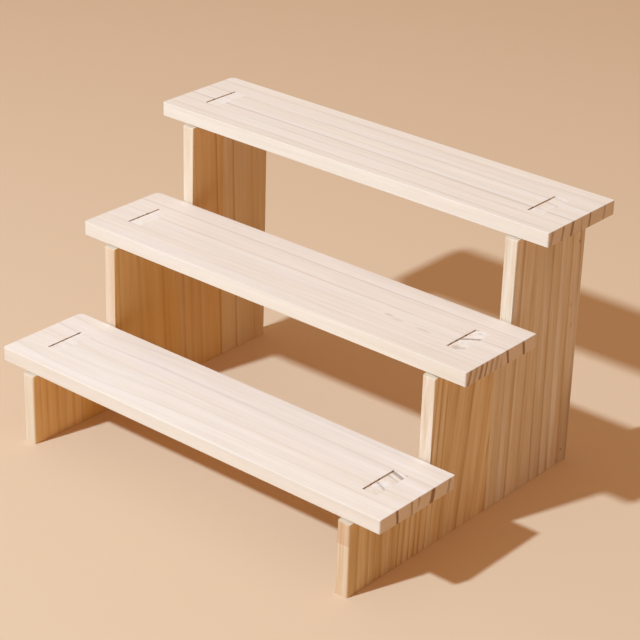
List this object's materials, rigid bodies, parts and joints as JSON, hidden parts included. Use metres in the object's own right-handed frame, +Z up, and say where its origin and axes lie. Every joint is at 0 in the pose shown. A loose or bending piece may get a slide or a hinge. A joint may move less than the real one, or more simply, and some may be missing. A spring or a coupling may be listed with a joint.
{
  "type": "stepped wooden display rack",
  "caption": "Free-standing stepped pine display rack: shelves drop over through tenons on stepped side panels, rise in tiers from front to back, and lift off without tools.",
  "frame": {"origin": "on the floor under the middle of the rack's bounding box", "axes": "+X along the shelves, to the right seen from the front; +Y from the low front tier to the high back tier; +Z up"},
  "size_m": [0.4, 0.2834, 0.239],
  "materials": {
    "shelf_pine": "bare sanded pine, pale cream",
    "panel_pine": "bare sanded pine, warm honey"
  },
  "bodies": {
    "side_panels": {"left_panel_stave_1": "panel_pine", "left_panel_stave_2": "panel_pine", "left_panel_stave_3": "panel_pine", "left_panel_stave_4": "panel_pine", "left_panel_stave_5": "panel_pine", "right_panel_stave_1": "panel_pine", "right_panel_stave_2": "panel_pine", "right_panel_stave_3": "panel_pine", "right_panel_stave_4": "panel_pine", "right_panel_stave_5": "panel_pine"},
    "bottom_shelf": {"bottom_shelf_front_stave": "shelf_pine", "bottom_shelf_back_stave": "shelf_pine"},
    "middle_shelf": {"middle_shelf_front_stave": "shelf_pine", "middle_shelf_back_stave": "shelf_pine"},
    "top_shelf": {"top_shelf_front_stave": "shelf_pine", "top_shelf_back_stave": "shelf_pine"}
  },
  "joints": [
    {"name": "bottom_shelf_lift", "type": "slide", "parent": "side_panels", "child": "bottom_shelf", "axis": [0, 0, 1], "range_m": [0, 0.04]},
    {"name": "middle_shelf_lift", "type": "slide", "parent": "side_panels", "child": "middle_shelf", "axis": [0, 0, 1], "range_m": [0, 0.04]},
    {"name": "top_shelf_lift", "type": "slide", "parent": "side_panels", "child": "top_shelf", "axis": [0, 0, 1], "range_m": [0, 0.04]}
  ]
}
